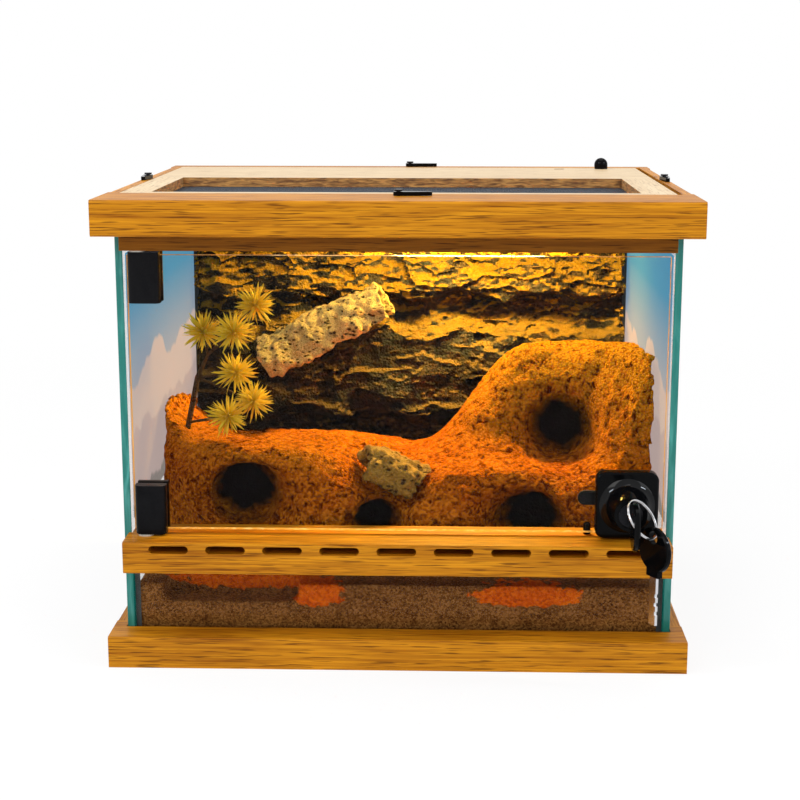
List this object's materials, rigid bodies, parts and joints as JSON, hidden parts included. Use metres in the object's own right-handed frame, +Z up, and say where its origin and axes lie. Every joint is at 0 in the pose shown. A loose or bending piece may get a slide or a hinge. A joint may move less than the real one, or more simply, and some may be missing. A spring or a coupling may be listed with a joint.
{
  "type": "glass reptile tank",
  "caption": "Glass reptile tank with oak base and lid, hinged front door with a keyed lock over a vented rail, lift-out mesh panel with turn buttons, and clay, rock and bark inside.",
  "frame": {"origin": "middle of the base's underside, under the centre of the lid and base", "axes": "+X to the viewer's right across the front, +Y from the door to the back, +Z up"},
  "size_m": [0.4, 0.4014, 0.33],
  "materials": {
    "oak": "clear satin lacquer",
    "panel_wood": "fine sanded, unlacquered",
    "base_board": "plain ply",
    "pane": "clear float glass with polished edges",
    "sealant": "satin silicone",
    "film": "printed film",
    "mesh": "coated wire",
    "black_metal": "gloss black",
    "black_plastic": "gloss black",
    "soft_black": "matt",
    "nylon": "matt",
    "bright_steel": "bright plated",
    "steel": "brushed",
    "white_plastic": "moulded",
    "opal": "opal lens, lit warm",
    "soil": "loose coconut soil",
    "clay": "dry sandy clay",
    "rock": "layered, rough",
    "cork": "raw bark",
    "leaf": "soft moulded leaves",
    "stem": "matt"
  },
  "bodies": {
    "tank": {"base_front_rail": "oak", "base_rear_rail": "oak", "base_left_rail": "oak", "base_right_rail": "oak", "vent_rail": "oak", "header_rail": "oak", "lid_front_rail": "oak", "lid_rear_rail": "oak", "lid_left_rail": "oak", "lid_right_rail": "oak", "base_bearer": "base_board", "base_panel": "base_board", "left_glass": "pane", "right_glass": "pane", "back_glass": "pane", "bottom_glass": "pane", "lower_front_glass": "pane", "silicone_seams": "sealant", "left_sky_film": "film", "right_sky_film": "film", "vent_mesh": "mesh", "door_stop_peg": "soft_black", "pivot_bushes": "nylon", "button_screws": "steel", "substrate_bed": "soil", "clay_mound": "clay", "rock_wall": "rock", "cork_bark": "cork", "cork_chip": "cork", "plant_leaves": "leaf", "plant_stem": "stem"},
    "door": {"door_glass": "pane", "upper_hinge_clamp": "black_metal", "lower_hinge_clamp": "black_metal", "hinge_back_plates": "black_metal", "hinge_screws": "steel", "lock_housing": "black_metal", "lock_gasket": "soft_black", "lock_nut": "bright_steel"},
    "lock_core": {"lock_plug": "steel", "lock_cam": "bright_steel", "cam_screw": "steel"},
    "lock_key": {"key_bow": "black_plastic", "key_blade": "bright_steel"},
    "split_ring": {"key_ring": "bright_steel"},
    "spare_key": {"spare_key_bow": "black_plastic", "spare_key_blade": "bright_steel"},
    "lift_panel": {"panel_left_stile": "panel_wood", "panel_right_stile": "panel_wood", "panel_front_strip": "panel_wood", "panel_rear_board": "panel_wood", "panel_mesh": "mesh", "cable_hood": "black_plastic", "light_housing": "white_plastic", "light_diffuser": "opal"},
    "front_button": {"front_turn_button": "black_plastic"},
    "rear_button": {"rear_turn_button": "black_plastic"},
    "left_button": {"left_turn_button": "black_plastic"},
    "right_button": {"right_turn_button": "black_plastic"}
  },
  "joints": [
    {"name": "door_swing", "type": "hinge", "parent": "tank", "child": "door", "pos_m": [-0.173, -0.1545, 0.188], "axis": [0, 0, -1], "range_deg": [0, 110]},
    {"name": "lock_turn", "type": "hinge", "parent": "door", "child": "lock_core", "pos_m": [0.156, -0.16, 0.1145], "axis": [0, -1, 0], "range_deg": [0, 90]},
    {"name": "key_withdraw", "type": "slide", "parent": "lock_core", "child": "lock_key", "axis": [0, -1, 0], "range_m": [0, 0.026]},
    {"name": "ring_swing", "type": "hinge", "parent": "lock_key", "child": "split_ring", "pos_m": [0.156, -0.2199, 0.1145], "axis": [1, 0, 0], "range_deg": [0, 15]},
    {"name": "spare_key_swing", "type": "hinge", "parent": "split_ring", "child": "spare_key", "pos_m": [0.1697, -0.20731, 0.10772], "axis": [0.3358, 0.8988, 0.2818], "range_deg": [-20, 0]},
    {"name": "panel_lift", "type": "slide", "parent": "tank", "child": "lift_panel", "axis": [0, 0, 1], "range_m": [0, 0.06]},
    {"name": "front_button_turn", "type": "hinge", "parent": "tank", "child": "front_button", "pos_m": [0, -0.133, 0.3226], "axis": [0, 0, 1], "range_deg": [0, 90]},
    {"name": "rear_button_turn", "type": "hinge", "parent": "tank", "child": "rear_button", "pos_m": [0, 0.166, 0.3226], "axis": [0, 0, -1], "range_deg": [0, 90]},
    {"name": "left_button_turn", "type": "hinge", "parent": "tank", "child": "left_button", "pos_m": [-0.196, 0.02, 0.3226], "axis": [0, 0, 1], "range_deg": [0, 90]},
    {"name": "right_button_turn", "type": "hinge", "parent": "tank", "child": "right_button", "pos_m": [0.196, 0.02, 0.3226], "axis": [0, 0, -1], "range_deg": [0, 90]}
  ]
}
